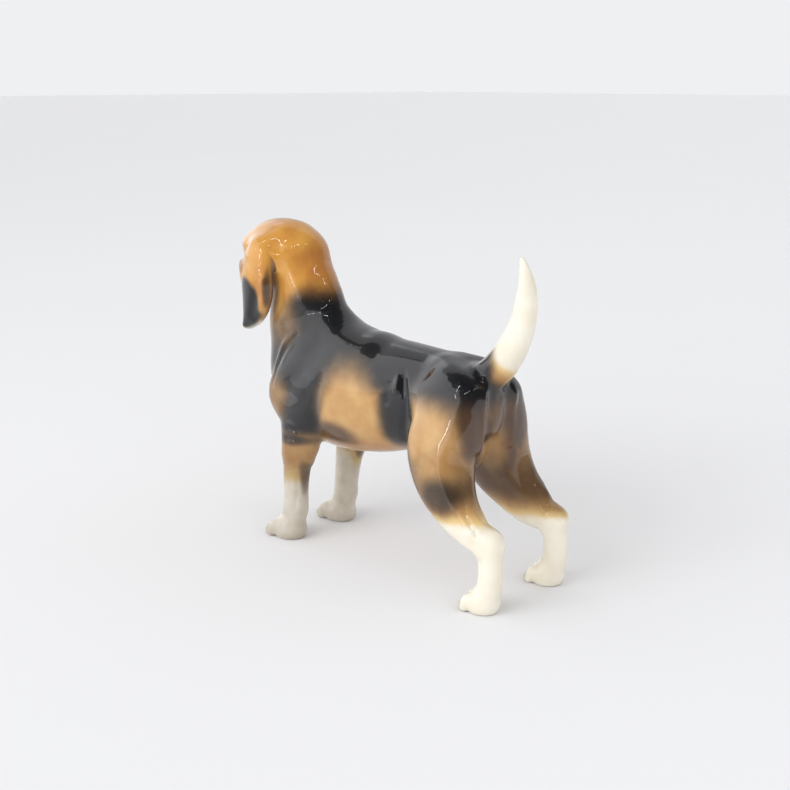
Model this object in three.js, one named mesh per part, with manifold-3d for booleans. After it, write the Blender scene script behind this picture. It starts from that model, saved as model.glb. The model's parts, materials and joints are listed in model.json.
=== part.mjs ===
// Standing hound: a slip-cast, glazed porcelain figurine in nine luted castings.
// Millimetres, +Z up. The nose points towards -Y and the animal's left is +X.
// The castings are drawn with y = 0 at the fore feet, and the finished figure is then moved
// so that the middle of its footprint box stands on the origin.
import * as THREE from 'three';
import { mergeVertices } from 'three/addons/utils/BufferGeometryUtils.js';
import Module from 'manifold-3d';

const wasm = await Module();
wasm.setup();

// ---- Driving dimensions -------------------------------------------------------------------
const WALL = 3.5;               // thickness of the cast shell in the torso and head
const GAP = 0.3;                // luting gap between two castings
const VENT_RADIUS = 3;          // firing vent in the belly
const VENT_Y = 73;
const VENT_SPAN_Z = { from: 30, to: 60 };
const FORE_SPREAD = 15;         // sideways place of each fore foot
const HIND_SPREAD = 19;
const FORE_PAW_Y = 1;           // middle of each paw's pad, on the left side
const HIND_PAW_Y = 111;
const FOREFOOT_STAGGER = -3.5;  // the right feet stand a little ahead of the left ones
const HINDFOOT_STAGGER = -3;
const FORE_LEAN_Z = { top: 50, full: 20 };  // heights between which a right leg takes up its stagger
const HIND_LEAN_Z = { top: 78, full: 44 };
const FORE_SEAM_Z = 36.5;       // level at which the fore legs join the torso
const HIND_SEAM_Z = 44;
const FORE_LEGS_Y = { from: -60, to: 45 };  // stretch of the figure that each pair of legs stands in
const HIND_LEGS_Y = { from: 60, to: 160 };
const HEAD_CENTRE = new THREE.Vector3(0, -15, 112);
const HEAD_TURN = THREE.MathUtils.degToRad(-2);
const HEAD_NOD = THREE.MathUtils.degToRad(4);
const EAR_SEAM_X = 14.4;        // ear roots join the skull on planes this far from its middle
const NECK_SEAM = { at: new THREE.Vector3(0, -4, 91), normal: new THREE.Vector3(0, -0.45, 0.89) };
const TAIL_SEAM = { at: new THREE.Vector3(0, 96.5, 78.5), normal: new THREE.Vector3(0, 0.79, 0.62) };
const FAR = 300;                // size of the blocks used for cutting, larger than the figure

const SIDES = { left: 1, right: -1 };

// ---- Shape helpers ------------------------------------------------------------------------

/** A closed three.js geometry as a manifold solid. */
function solid(geometry) {
  const bare = geometry.clone();
  bare.deleteAttribute('normal');
  bare.deleteAttribute('uv');
  const merged = mergeVertices(bare, 1e-4);
  const triangles = [];
  for (let i = 0; i < merged.index.count; i += 3) {
    const [a, b, c] = [0, 1, 2].map((k) => merged.index.getX(i + k));
    if (a !== b && b !== c && c !== a) triangles.push(a, b, c);
  }
  return new wasm.Manifold(new wasm.Mesh({
    numProp: 3,
    vertProperties: merged.attributes.position.array,
    triVerts: new Uint32Array(triangles),
  }));
}

/**
 * A round-ended body along a smooth path. Each station is [x, y, z, half width, half depth]:
 * width runs across the figure and depth is square to both it and the path.
 * power above 2 squares the section off, and cup bends a flat section's edges sideways.
 */
function loft(stations, { sides = 16, rows = 8, power = 2, cup = 0, capRows = 2 } = {}) {
  const path = new THREE.CatmullRomCurve3(stations.map(([x, y, z]) => new THREE.Vector3(x, y, z)));
  const sizes = new THREE.CatmullRomCurve3(
    stations.map(([, , , width, depth = width]) => new THREE.Vector3(width, depth, 0)));
  const geometry = new THREE.CapsuleGeometry(1, 1, capRows, sides, rows);
  const position = geometry.attributes.position;
  const across = new THREE.Vector3(1, 0, 0);
  const local = new THREE.Vector3();
  for (let i = 0; i < position.count; i++) {
    local.fromBufferAttribute(position, i);
    const u = THREE.MathUtils.clamp(local.y + 0.5, 0, 1);
    const beyondEnd = local.y + 0.5 - u;
    const size = sizes.getPoint(u);
    const tangent = path.getTangent(u);
    const side = across.clone().addScaledVector(tangent, -across.dot(tangent)).normalize();
    const depth = new THREE.Vector3().crossVectors(side, tangent);
    const radius = Math.hypot(local.x, local.z);
    const squared = (Math.abs(local.x) ** power + Math.abs(local.z) ** power) ** (1 / power);
    const bulge = radius > 0 ? radius / squared : 1;
    const point = path.getPoint(u)
      .addScaledVector(tangent, beyondEnd * Math.min(size.x, size.y))
      .addScaledVector(side, local.x * bulge * size.x + cup * local.z ** 2)
      .addScaledVector(depth, local.z * bulge * size.y);
    position.setXYZ(i, point.x, point.y, point.z);
  }
  return solid(geometry);
}

/** A ball stretched to three radii. */
function ball([x, y, z], [rx, ry, rz], sides = 14) {
  const geometry = new THREE.SphereGeometry(1, sides, Math.round(sides * 0.6));
  geometry.scale(rx, ry, rz);
  geometry.translate(x, y, z);
  return solid(geometry);
}

/** Everything on the side of a plane that its normal points to, short of it by half the luting gap. */
function halfSpace({ at, normal }) {
  const direction = normal.clone().normalize();
  const block = new THREE.BoxGeometry(FAR, FAR, FAR);
  block.translate(0, 0, FAR / 2 + GAP / 2);
  block.applyQuaternion(new THREE.Quaternion().setFromUnitVectors(new THREE.Vector3(0, 0, 1), direction));
  block.translate(at.x, at.y, at.z);
  return solid(block);
}

/** The same plane, seen from its other side. */
function reversed({ at, normal }) {
  return { at, normal: normal.clone().negate() };
}

/** A level plane facing up at one height. */
function level(z) {
  return { at: new THREE.Vector3(0, 0, z), normal: new THREE.Vector3(0, 0, 1) };
}

/** The same stations with every half size less the wall, for the hollow inside a casting. */
function hollowed(stations) {
  return stations.map(([x, y, z, width, depth = width]) => [x, y, z, width - WALL, depth - WALL]);
}

/** Stations with a sideways sign and a shift along the figure. */
function placed(stations, sign, shift = 0) {
  return stations.map(([x, y, z, ...sizes]) => [sign * x, y + shift, z, ...sizes]);
}

/** The join of a list of solids. */
function join(...solids) {
  return solids.reduce((whole, next) => whole.add(next));
}

/** Everything above the surface that the figure stands on. */
function aboveGround() {
  const block = new THREE.BoxGeometry(FAR, FAR, FAR);
  block.translate(0, 0, FAR / 2);
  return solid(block);
}

/** A solid moved from the head's own axes, which have their origin in the skull, to the figure's. */
function onHead(shape) {
  const turn = new THREE.Matrix4().makeRotationZ(HEAD_TURN)
    .multiply(new THREE.Matrix4().makeRotationX(HEAD_NOD));
  turn.setPosition(HEAD_CENTRE);
  return shape.transform(turn.elements);
}

/** A named mesh from a solid. */
function casting(name, shape, material) {
  const { numProp, vertProperties, triVerts } = shape.getMesh();
  const geometry = new THREE.BufferGeometry();
  geometry.setAttribute('position', new THREE.BufferAttribute(vertProperties, numProp));
  geometry.setIndex(new THREE.BufferAttribute(triVerts, 1));
  geometry.computeVertexNormals();
  const mesh = new THREE.Mesh(geometry, material);
  mesh.name = name;
  return mesh;
}

// ---- Glazes -------------------------------------------------------------------------------
const glaze = (color) => new THREE.MeshStandardMaterial({ color, roughness: 0.12, metalness: 0 });
const blackSaddle = glaze(0x2b2724);
const goldenTan = glaze(0xb5712b);
const creamWhite = glaze(0xe9e0cc);

// ---- Stations of the trunk, limbs and tail ------------------------------------------------
const BARREL = [
  [0, -9, 65, 10.5, 13],
  [0, -3, 64.5, 15, 19],
  [0, 8, 62.8, 18, 22.6],
  [0, 24, 61.8, 19.5, 23.4],
  [0, 40, 62.6, 18.5, 22],
  [0, 55, 64.9, 16.2, 20.4],
  [0, 70, 66.9, 14.5, 18.2],
  [0, 82, 67.4, 13.6, 17],
  [0, 89, 67, 11.5, 14.4],
];
const NECK = [
  [0, 5, 70, 14, 18.5],
  [0, -3, 84, 13, 16.2],
  [0, -7, 96, 11.8, 13.2],
  [0, -11, 106, 11, 12],
];
const WITHERS = [
  [0, 2, 100, 6.5, 7],
  [0, 10, 90, 8.5, 8],
  [0, 22, 81.5, 11, 8.5],
  [0, 38, 77, 11, 9],
];
const CHEST = [
  [0, -4, 78, 10, 13],
  [0, -6, 66, 12, 13.5],
  [0, -3, 54, 12, 14],
];
const SHOULDER = [
  [7, 12, 78, 5, 7],
  [10.8, 5, 68, 7.6, 9],
  [12.6, 0, 59, 8, 8.8],
  [13.4, 7, 51, 7.8, 9],
  [14.6, 8.2, 44, 6.9, 8.2],
  [15, 7.2, 36, 6, 7],
];
const THIGH = [
  [9, 87, 70, 9, 14],
  [12, 87.5, 60, 10.4, 13.6],
  [14.2, 86.4, 51, 10.6, 13.4],
  [16.2, 89.6, 42, 9.2, 11.8],
  [17.6, 96.6, 34, 7.4, 8.8],
  [18.5, 104.6, 28.4, 6, 6.6],
  [18.8, 111, 25, 4.8, 5],
];
const FORELEG = [
  [14.7, 8.4, 46, 6.9, 8.2],
  [15, 7.4, 37, 6, 7],
  [15, 6, 28, 5.2, 6],
  [15, 5.4, 18, 4.7, 5.4],
  [15, 4.2, 11, 4.7, 5.2],
  [15, 3, 7, 4.8, 5],
];
const PASTERN = [
  [18.8, 113.6, 26, 4.4, 4.8],
  [18.9, 114.2, 18, 4.2, 4.6],
  [19, 114, 10, 4.4, 4.8],
  [19, 113, 6, 4.8, 5],
];
const TAIL = [
  [0, 84, 73, 7, 7],
  [0, 91, 75.5, 6.6, 7],
  [0, 98.8, 81.5, 5.8, 6.2],
  [0, 105.6, 90, 5.2, 5.8],
  [0, 109.7, 99, 4.6, 5.2],
  [0, 111.3, 108, 3.9, 4.2],
  [0, 110.8, 115, 2.6, 2.9],
  [0, 109.3, 121, 1, 1.1],
];

/** One side's limb. The right one's stagger grows from nothing at the top of its lean to all below it. */
function staggered(stations, sign, shift, { top, full }) {
  const share = (z) => (sign < 0 ? THREE.MathUtils.clamp((top - z) / (top - full), 0, 1) : 0);
  return stations.map(([x, y, z, ...sizes]) => [sign * x, y + shift * share(z), z, ...sizes]);
}

const shoulderOf = (sign) => staggered(SHOULDER, sign, FOREFOOT_STAGGER, FORE_LEAN_Z);
const forelegOf = (sign) => staggered(FORELEG, sign, FOREFOOT_STAGGER, FORE_LEAN_Z);
const thighOf = (sign) => staggered(THIGH, sign, HINDFOOT_STAGGER, HIND_LEAN_Z);

/** A block that fills what lies under a level seam, along one stretch of the figure. */
function underSeam(z, { from, to }) {
  const block = new THREE.BoxGeometry(FAR, to - from, FAR);
  block.translate(0, (from + to) / 2, z + GAP / 2 - FAR / 2);
  return solid(block);
}

/** The round firing vent, from under the belly up into the chamber. */
function makeVent() {
  const { from, to } = VENT_SPAN_Z;
  const vent = new THREE.CylinderGeometry(VENT_RADIUS, VENT_RADIUS, to - from, 16);
  vent.rotateX(Math.PI / 2);
  vent.translate(0, VENT_Y, (from + to) / 2);
  return solid(vent);
}

// ---- Torso --------------------------------------------------------------------------------
function makeTorso() {
  const limbs = Object.values(SIDES).flatMap((sign) => [
    loft(shoulderOf(sign)),
    loft(thighOf(sign)),
  ]);
  const outside = join(
    loft(BARREL, { sides: 24, rows: 14, power: 2.15, capRows: 3 }),
    loft(NECK, { sides: 20, rows: 6 }),
    loft(WITHERS, { rows: 6 }),
    loft(CHEST, { rows: 4 }),
    loft(TAIL.slice(0, 4), { sides: 14, rows: 4 }),
    ...limbs,
  );
  const trimmed = outside
    .intersect(halfSpace(reversed(NECK_SEAM)))
    .intersect(halfSpace(reversed(TAIL_SEAM)))
    .subtract(underSeam(FORE_SEAM_Z, FORE_LEGS_Y))
    .subtract(underSeam(HIND_SEAM_Z, HIND_LEGS_Y));
  const chamber = loft(hollowed(BARREL), { rows: 8, power: 2.15 });
  const gullet = loft(hollowed(NECK), { sides: 14, rows: 3 });
  return trimmed.subtract(chamber).subtract(gullet).subtract(makeVent());
}

// ---- Legs ---------------------------------------------------------------------------------
/** Four arched toes side by side in front of a round pad of this half width and half length. */
function paw(x, y, width, length, height) {
  const toes = [-1.5, -0.5, 0.5, 1.5].map((place) => {
    const reach = length * (Math.abs(place) < 1 ? 0.55 : 0.4);
    return ball([x + place * width * 0.42, y - reach, height * 0.42],
      [width * 0.3, length * 0.42, height * 0.56], 10);
  });
  const pad = ball([x, y, height * 0.45], [width * 0.86, length * 0.86, height * 0.72]);
  return join(pad, ...toes).intersect(aboveGround());
}

function makeForeleg(sign) {
  const shift = sign < 0 ? FOREFOOT_STAGGER : 0;
  const leg = loft(forelegOf(sign), { rows: 7 });
  return join(leg, paw(sign * FORE_SPREAD, FORE_PAW_Y + shift, 7.6, 9.6, 8.6))
    .intersect(halfSpace(reversed(level(FORE_SEAM_Z))))
    .intersect(aboveGround());
}

function makeHindleg(sign) {
  const shift = sign < 0 ? HINDFOOT_STAGGER : 0;
  const gaskin = loft(thighOf(sign).slice(1));
  const shank = loft(placed(PASTERN, sign, shift), { rows: 3 });
  return join(gaskin, shank, paw(sign * HIND_SPREAD, HIND_PAW_Y + shift, 6.8, 8, 8))
    .intersect(halfSpace(reversed(level(HIND_SEAM_Z))))
    .intersect(aboveGround());
}

// ---- Tail ---------------------------------------------------------------------------------
function makeTail() {
  return loft(TAIL, { sides: 14, rows: 12 }).intersect(halfSpace(TAIL_SEAM));
}

// ---- Head ---------------------------------------------------------------------------------
const SKULL = [[0, 0.5, 0], [14.6, 15.6, 14]];
const MUZZLE = [
  [0, -8, -6, 9, 9.5],
  [0, -16, -6.8, 8, 8.6],
  [0, -23, -7.3, 7, 7.4],
  [0, -25.5, -7.2, 6.4, 7],
];
const EAR = [
  [14.8, -1, 5.5, 2.2, 6],
  [16.4, -1.2, 0, 2.1, 8.6],
  [17.4, -1.4, -8, 2, 9.8],
  [17.6, -2.2, -15, 1.9, 9.6],
  [17.2, -4.8, -22, 1.7, 7.4],
  [16.6, -8, -27.5, 1.4, 3.8],
];

function makeHead() {
  const forehead = ball([0, -6.5, 3], [13, 12.5, 11.5], 18);
  const cheeks = Object.values(SIDES).map((sign) => ball([sign * 6.5, -6, -5.5], [6.6, 10, 8]));
  const brows = Object.values(SIDES).map((sign) => ball([sign * 7, -10, 3.5], [5, 5, 5]));
  const earBosses = Object.values(SIDES).map((sign) => ball([sign * 11.8, -0.8, 2.5], [4.5, 7.6, 6]));
  const nose = ball([0, -29.5, -4.2], [3.4, 2.6, 2.8], 12);
  const front = onHead(join(
    ball(...SKULL, 20),
    forehead,
    ...cheeks,
    ...brows,
    ...earBosses,
    loft(MUZZLE, { rows: 4, power: 2.3 }),
    nose,
  ).intersect(betweenEars()));
  const outside = join(front, loft(NECK, { sides: 20, rows: 6 }), loft(WITHERS, { rows: 6 }))
    .intersect(halfSpace(NECK_SEAM));
  const chamber = onHead(ball(SKULL[0], SKULL[1].map((radius) => radius - WALL)));
  const gullet = loft(hollowed(NECK), { sides: 14, rows: 3 });
  return outside.subtract(chamber).subtract(gullet);
}

/** The slab between the two ear seams, in the head's own axes. */
function betweenEars() {
  const width = 2 * (EAR_SEAM_X - GAP / 2);
  return solid(new THREE.BoxGeometry(width, FAR, FAR));
}

function makeEar(sign) {
  const flap = loft(placed(EAR, sign), { rows: 7, cup: -2.2 * sign });
  const root = ball([sign * 14.6, -0.8, 3], [2.6, 6.4, 5]);
  const seam = { at: new THREE.Vector3(sign * EAR_SEAM_X, 0, 0), normal: new THREE.Vector3(sign, 0, 0) };
  return onHead(join(flap, root).intersect(halfSpace(seam)));
}

// ---- Assembly -----------------------------------------------------------------------------
const figurine = new THREE.Group();
figurine.add(casting('torso', makeTorso(), blackSaddle));
figurine.add(casting('head', makeHead(), goldenTan));
figurine.add(casting('tail', makeTail(), creamWhite));
for (const [side, sign] of Object.entries(SIDES)) {
  figurine.add(casting(`ear_${side}`, makeEar(sign), goldenTan));
  figurine.add(casting(`foreleg_${side}`, makeForeleg(sign), creamWhite));
  figurine.add(casting(`hindleg_${side}`, makeHindleg(sign), creamWhite));
}

const bounds = new THREE.Box3().setFromObject(figurine);
const middle = bounds.getCenter(new THREE.Vector3());
figurine.position.set(-middle.x, -middle.y, -bounds.min.z);

export default figurine;
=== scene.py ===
"""The looks of a glazed porcelain hound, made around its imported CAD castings.

One smooth skin is built as distance fields, cut along the castings' own seams, painted by soft
airbrush masks and covered with a clear glaze.
"""
import json
import math

import bmesh
import bpy
import numpy as np
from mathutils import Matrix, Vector


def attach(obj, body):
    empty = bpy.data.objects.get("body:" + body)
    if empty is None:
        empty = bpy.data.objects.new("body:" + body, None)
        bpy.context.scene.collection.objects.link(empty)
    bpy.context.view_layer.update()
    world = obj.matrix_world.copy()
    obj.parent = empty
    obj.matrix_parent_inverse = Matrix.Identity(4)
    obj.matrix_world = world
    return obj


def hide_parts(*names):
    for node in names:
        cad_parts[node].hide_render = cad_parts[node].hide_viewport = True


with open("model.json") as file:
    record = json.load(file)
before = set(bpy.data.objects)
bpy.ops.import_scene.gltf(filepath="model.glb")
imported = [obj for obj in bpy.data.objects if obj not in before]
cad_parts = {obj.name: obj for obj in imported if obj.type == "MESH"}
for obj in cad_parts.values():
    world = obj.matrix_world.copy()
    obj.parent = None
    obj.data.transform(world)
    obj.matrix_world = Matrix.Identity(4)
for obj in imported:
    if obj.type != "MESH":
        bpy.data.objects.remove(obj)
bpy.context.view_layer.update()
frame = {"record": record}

MM = 0.001
STEP = 0.5   # grid spacing of the skin, in mm


def mount_place(name):
    """A mount's position in mm."""
    mounts = {m["name"]: m for m in frame["record"]["mounts"]}
    return np.array(mounts[name]["pos_m"]) / MM


# The shape's axes have y = 0 at the fore feet, 1 mm ahead of the left fore sole's mount, so the
# part's own origin lies at ORIGIN in them.
FORE_SOLE_Y = 1.0
ORIGIN = np.array([0.0, FORE_SOLE_Y - mount_place("sole_foreleg_left")[1], 0.0])

# ---- Distance fields -------------------------------------------------------------------------
# All shape code works in mm: x to the dog's left, y to its rear from the fore feet, z up.

FAR = 12.0          # distance stored where nothing is near
MARGIN = 1.5        # how far past a body its own distances are worked out
SLIDE = 0.7         # share of the way to the nearest point of a path that each step slides
CREASE_REACH = 2.2  # how many widths from its line a crease acts
CREASE_FALL = 1.4   # how fast it fades within them


class Field:
    """Distances to a surface on a regular grid, negative inside."""

    def __init__(self, low, high, step):
        self.low = np.array(low, float)
        self.step = step
        counts = np.ceil((np.array(high, float) - self.low) / step).astype(int) + 1
        self.axes = [(self.low[i] + step * np.arange(counts[i])).astype(np.float32) for i in range(3)]
        self.values = np.full(counts, FAR, np.float32)

    def window(self, low, high):
        """The part of the grid between two corners, and its coordinates."""
        top = np.array(self.values.shape)
        first = np.clip(np.floor((np.array(low) - self.low) / self.step).astype(int), 0, top - 1)
        last = np.clip(np.ceil((np.array(high) - self.low) / self.step).astype(int) + 1, 1, top)
        part = tuple(slice(a, b) for a, b in zip(first, last))
        x, y, z = (axis[s] for axis, s in zip(self.axes, part))
        return part, x[:, None, None], y[None, :, None], z[None, None, :]

    def add(self, part, distance, blend):
        self.values[part] = smooth_min(self.values[part], distance.astype(np.float32), blend)

    def cut(self, part, distance, blend):
        self.values[part] = smooth_max(self.values[part], -distance.astype(np.float32), blend)


def smooth_min(a, b, blend):
    share = np.clip(0.5 + 0.5 * (b - a) / blend, 0, 1)
    return b + (a - b) * share - blend * share * (1 - share)


def smooth_max(a, b, blend):
    return -smooth_min(-a, -b, blend)


def smoothstep(value, low, high):
    t = np.clip((value - low) / (high - low), 0, 1)
    return t * t * (3 - 2 * t)


def spline(rows, steps=5):
    """Catmull-Rom rows through rows of numbers."""
    points = np.array(rows, float)
    points = np.vstack([2 * points[0] - points[1], points, 2 * points[-1] - points[-2]])
    t = (np.arange(steps) / steps)[:, None]
    spans = [
        0.5 * (2 * b + (c - a) * t + (2 * a - 5 * b + 4 * c - d) * t ** 2
               + (3 * b - a - 3 * c + d) * t ** 3)
        for a, b, c, d in zip(points, points[1:], points[2:], points[3:])
    ]
    return np.vstack(spans + [points[-2:-1]])


def nearest_on(path, x, y, z):
    """For each grid point, the squared distance to a path of straight runs, and its place along it."""
    best, where = None, None
    for i, (a, b) in enumerate(zip(path, path[1:])):
        run = b - a
        px, py, pz = x - a[0], y - a[1], z - a[2]
        t = np.clip((px * run[0] + py * run[1] + pz * run[2]) / (run @ run), 0, 1).astype(np.float32)
        gap = (px - run[0] * t) ** 2 + (py - run[1] * t) ** 2 + (pz - run[2] * t) ** 2
        if best is None:
            best, where = gap, t + i
        else:
            where = np.where(gap < best, t + i, where)
            best = np.minimum(best, gap)
    return best, where


def loft(field, stations, blend, power=2.0, cup=0.0):
    """A round-ended body along a smooth path, joined softly into the field.

    Each station is (x, y, z, half width[, half depth]): width runs across the dog and depth is
    square to both it and the path. On a path that runs across the dog, width runs upward.
    power above 2 squares the section off, and cup bends a flat section's edges sideways.
    """
    rows = spline([s if len(s) == 5 else (*s, s[3]) for s in stations])
    at, width, depth = rows[:, :3], rows[:, 3], rows[:, 4]
    reach = np.maximum(width, depth).max() + abs(cup) + blend + MARGIN
    part, x, y, z = field.window(at.min(0) - reach, at.max(0) + reach)
    _, where = nearest_on(at, x, y, z)
    tangent = np.gradient(at, axis=0)
    tangent /= np.linalg.norm(tangent, axis=1)[:, None]
    runs_across = np.abs(tangent[:, 0]).max() > 0.85
    across_to = np.eye(3)[2 if runs_across else 0]
    side = across_to - tangent * (tangent @ across_to)[:, None]
    side /= np.linalg.norm(side, axis=1)[:, None]
    deep = np.cross(side, tangent)
    index = np.arange(len(at))

    def here(values):
        return np.interp(where, index, values).astype(np.float32)

    speed = np.linalg.norm(np.gradient(at, axis=0), axis=1)
    for _ in range(2):  # towards the nearest point of the smooth path
        offset = [p - here(at[:, i]) for i, p in enumerate((x, y, z))]
        along = sum(offset[i] * here(tangent[:, i]) for i in range(3))
        where = np.clip(where + SLIDE * along / here(speed), 0, len(at) - 1)
    offset = [p - here(at[:, i]) for i, p in enumerate((x, y, z))]
    across, inward, along = (
        sum(offset[i] * here(axis[:, i]) for i in range(3)) for axis in (side, deep, tangent)
    )
    w, d = here(width), here(depth)
    if cup:
        across = across - cup * (inward / d) ** 2
    end = np.minimum(w, d)
    if power == 2.0:
        near = np.sqrt((across / w) ** 2 + (inward / d) ** 2 + (along / end) ** 2)
    else:
        section = (np.abs(across / w) ** power + np.abs(inward / d) ** power) ** (1 / power)
        near = np.sqrt(section ** 2 + (along / end) ** 2)
    slope = np.sqrt((across / w ** 2) ** 2 + (inward / d ** 2) ** 2 + (along / end ** 2) ** 2) + 1e-6
    field.add(part, near * (near - 1) / slope, blend)


def ball(field, at, radii, blend, turn=None, cut=False):
    """An ellipsoid, joined softly into the field or cut softly out of it."""
    reach = max(radii) + blend + MARGIN
    part, x, y, z = field.window(np.array(at) - reach, np.array(at) + reach)
    local = [x - at[0], y - at[1], z - at[2]]
    if turn is not None:
        local = [sum(turn[j][i] * local[j] for j in range(3)) for i in range(3)]
    near = np.sqrt(sum((p / r) ** 2 for p, r in zip(local, radii)))
    slope = np.sqrt(sum((p / r ** 2) ** 2 for p, r in zip(local, radii))) + 1e-6
    distance = near * (near - 1) / slope
    if cut:
        field.cut(part, distance, blend)
    else:
        field.add(part, distance, blend)


def crease(field, points, width, depth, ends=0.22):
    """Lowers the surface by depth along a line through points, fading over width and towards the ends.

    A negative depth raises it.
    """
    path = spline(points, 4)
    reach = CREASE_REACH * width
    part, x, y, z = field.window(path.min(0) - reach, path.max(0) + reach)
    gap, where = nearest_on(path, x, y, z)
    where = where / (len(path) - 1)
    fading = smoothstep(where, 0, ends) * smoothstep(1 - where, 0, ends)
    field.values[part] += (depth * fading * np.exp(-CREASE_FALL * gap / width ** 2)).astype(np.float32)


def surface_nets(field):
    """Vertices and outward quads of the field's zero level."""
    values, inside = field.values, field.values < 0
    shape = np.array(values.shape)
    total = np.zeros((*(shape - 1), 3), np.float32)
    count = np.zeros(shape - 1, np.uint8)
    crossings = []
    for axis in range(3):
        here, there = [slice(None)] * 3, [slice(None)] * 3
        here[axis], there[axis] = slice(0, -1), slice(1, None)
        here, there = tuple(here), tuple(there)
        changes = inside[here] != inside[there]
        cells = np.argwhere(changes)
        places = cells.astype(np.float32)
        places[:, axis] += values[here][changes] / (values[here][changes] - values[there][changes])
        crossings.append((axis, cells, inside[here][changes]))
        one, two = (i for i in range(3) if i != axis)
        for back_one in (0, 1):
            for back_two in (0, 1):
                cell = cells.copy()
                cell[:, one] -= back_one
                cell[:, two] -= back_two
                kept = ((cell >= 0) & (cell < shape - 1)).all(1)
                key = tuple(cell[kept].T)
                np.add.at(total, key, places[kept])
                np.add.at(count, key, 1)
    used = count > 0
    number = np.full(count.shape, -1, np.int64)
    number[used] = np.arange(used.sum())
    vertices = total[used] / count[used][:, None] * field.step + field.low
    quads = []
    for axis, cells, starts_inside in crossings:
        one, two = (axis + 1) % 3, (axis + 2) % 3
        corners = []
        for back_one, back_two in ((1, 1), (0, 1), (0, 0), (1, 0)):
            cell = cells.copy()
            cell[:, one] -= back_one
            cell[:, two] -= back_two
            corners.append(number[tuple(cell.T)])
        quad = np.stack(corners, 1)
        quad[~starts_inside] = quad[~starts_inside][:, ::-1]
        quads.append(quad)
    return vertices, np.vstack(quads)


def sample(values, field, points):
    """Values on the field's grid, interpolated at points."""
    place = (points - field.low) / field.step
    cell = np.clip(np.floor(place).astype(int), 0, np.array(values.shape[:3]) - 2)
    share = place - cell
    result = 0
    for corner in np.ndindex(2, 2, 2):
        weight = np.prod(np.where(corner, share, 1 - share), axis=1)
        value = values[tuple((cell + corner).T)]
        result = result + (weight[:, None] * value if value.ndim > 1 else weight * value)
    return result


def skin(field):
    """The zero level as vertices lying on it, quads, and unit normals."""
    vertices, quads = surface_nets(field)
    slope = np.stack(np.gradient(field.values, field.step), axis=-1)
    for _ in range(3):
        normals = sample(slope, field, vertices)
        steep = np.maximum((normals ** 2).sum(1), 0.05)
        vertices -= normals * (sample(field.values, field, vertices) / steep)[:, None]
    normals = sample(slope, field, vertices)
    return vertices, quads, normals / np.linalg.norm(normals, axis=1)[:, None]


# ---- The dog's shape --------------------------------------------------------------------------
SIDES = {"left": 1, "right": -1}
STAGGER = {"fore": -3.5, "hind": -3.0}  # how far the right feet stand ahead of the left ones
LEAN_Z = {"fore": (50, 20), "hind": (78, 44)}  # heights between which a right leg takes up its stagger
# x, y, half width, half length and height of the left paws
PAWS = {"fore": (15.0, 1.0, 7.6, 8.8, 8.6), "hind": (19.0, 111.0, 6.8, 7.3, 8.0)}
TOES, CLEFTS = (-1.5, -0.5, 0.5, 1.5), (-1, 0, 1)  # across a paw, counted in toes
TOE_PITCH, CLEFT_PITCH = 0.46, 0.47  # how far apart they are, in half widths of the paw
VENT_Y = 73.0  # the firing vent in the belly
HEAD_AT = np.array([0.0, -15.0, 112.0])
HEAD_TURN, HEAD_NOD = math.radians(-2), math.radians(4)


def head_axes():
    turn, nod = HEAD_TURN, HEAD_NOD
    about_z = np.array([
        [math.cos(turn), -math.sin(turn), 0], [math.sin(turn), math.cos(turn), 0], [0, 0, 1],
    ])
    about_x = np.array([
        [1, 0, 0], [0, math.cos(nod), -math.sin(nod)], [0, math.sin(nod), math.cos(nod)],
    ])
    return about_z @ about_x


HEAD = head_axes()


def on_head(rows):
    """Stations in the head's own axes, with their origin in the skull, moved to the dog's."""
    return [(*(HEAD_AT + HEAD @ np.array(row[:3], float)), *row[3:]) for row in rows]


def mirrored(rows, sign):
    return [(sign * row[0], *row[1:]) for row in rows]


def limb(pair, rows, sign):
    """One side's stations. The right side's stagger grows from nothing at the top of its lean."""
    top, full = LEAN_Z[pair]

    def share(z):
        return float(np.clip((top - z) / (top - full), 0, 1)) if sign < 0 else 0.0
    return [(sign * x, y + STAGGER[pair] * share(z), z, *sizes) for x, y, z, *sizes in rows]


def fore(rows, sign):
    return limb("fore", rows, sign)


def hind(rows, sign):
    return limb("hind", rows, sign)


def paw_of(pair, sign):
    """One paw's x, y, half width, half length and height."""
    x, y, *sizes = PAWS[pair]
    return sign * x, y + (STAGGER[pair] if sign < 0 else 0), *sizes


def build_trunk(field):
    loft(field, [
        (0, -9, 65, 9.5, 12), (0, -3, 64.5, 14, 18), (0, 8, 62.8, 17.4, 22.2), (0, 24, 61.8, 19, 23.2),
        (0, 40, 62.4, 18, 21.8), (0, 55, 64.6, 15.8, 20), (0, 70, 66.4, 14, 17.7), (0, 82, 66.8, 13, 16.4),
        (0, 89, 67, 11, 14),
    ], 1, power=2.15)
    neck = [
        (0, 4, 70, 14, 18.4), (0, -4.4, 84, 12.9, 16.6), (0, -7.4, 96, 11.4, 13.2),
        (0, -11, 106, 10.4, 11.4),
    ]
    nape = [(0, -5.5, 112, 10.4, 9), (0, -3.4, 104, 11.2, 9.6), (0, -0.5, 96, 10.8, 10.4)]
    withers = [(0, 2, 100, 6, 6.5), (0, 10, 90, 7.6, 7.2), (0, 22, 81.5, 9.6, 7.6), (0, 38, 77, 9.6, 8)]
    chest = [(0, -5.5, 80, 9.5, 11.5), (0, -7.5, 67, 11.5, 13), (0, -4, 54, 11, 13)]
    spine = [(0, 40, 80.5, 5, 4), (0, 60, 78.6, 5, 4), (0, 80, 76.6, 5, 3.8)]
    loft(field, neck, 6, power=2.25)
    loft(field, nape, 5)
    loft(field, withers, 7)
    loft(field, chest, 5)
    loft(field, spine, 6)


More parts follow.
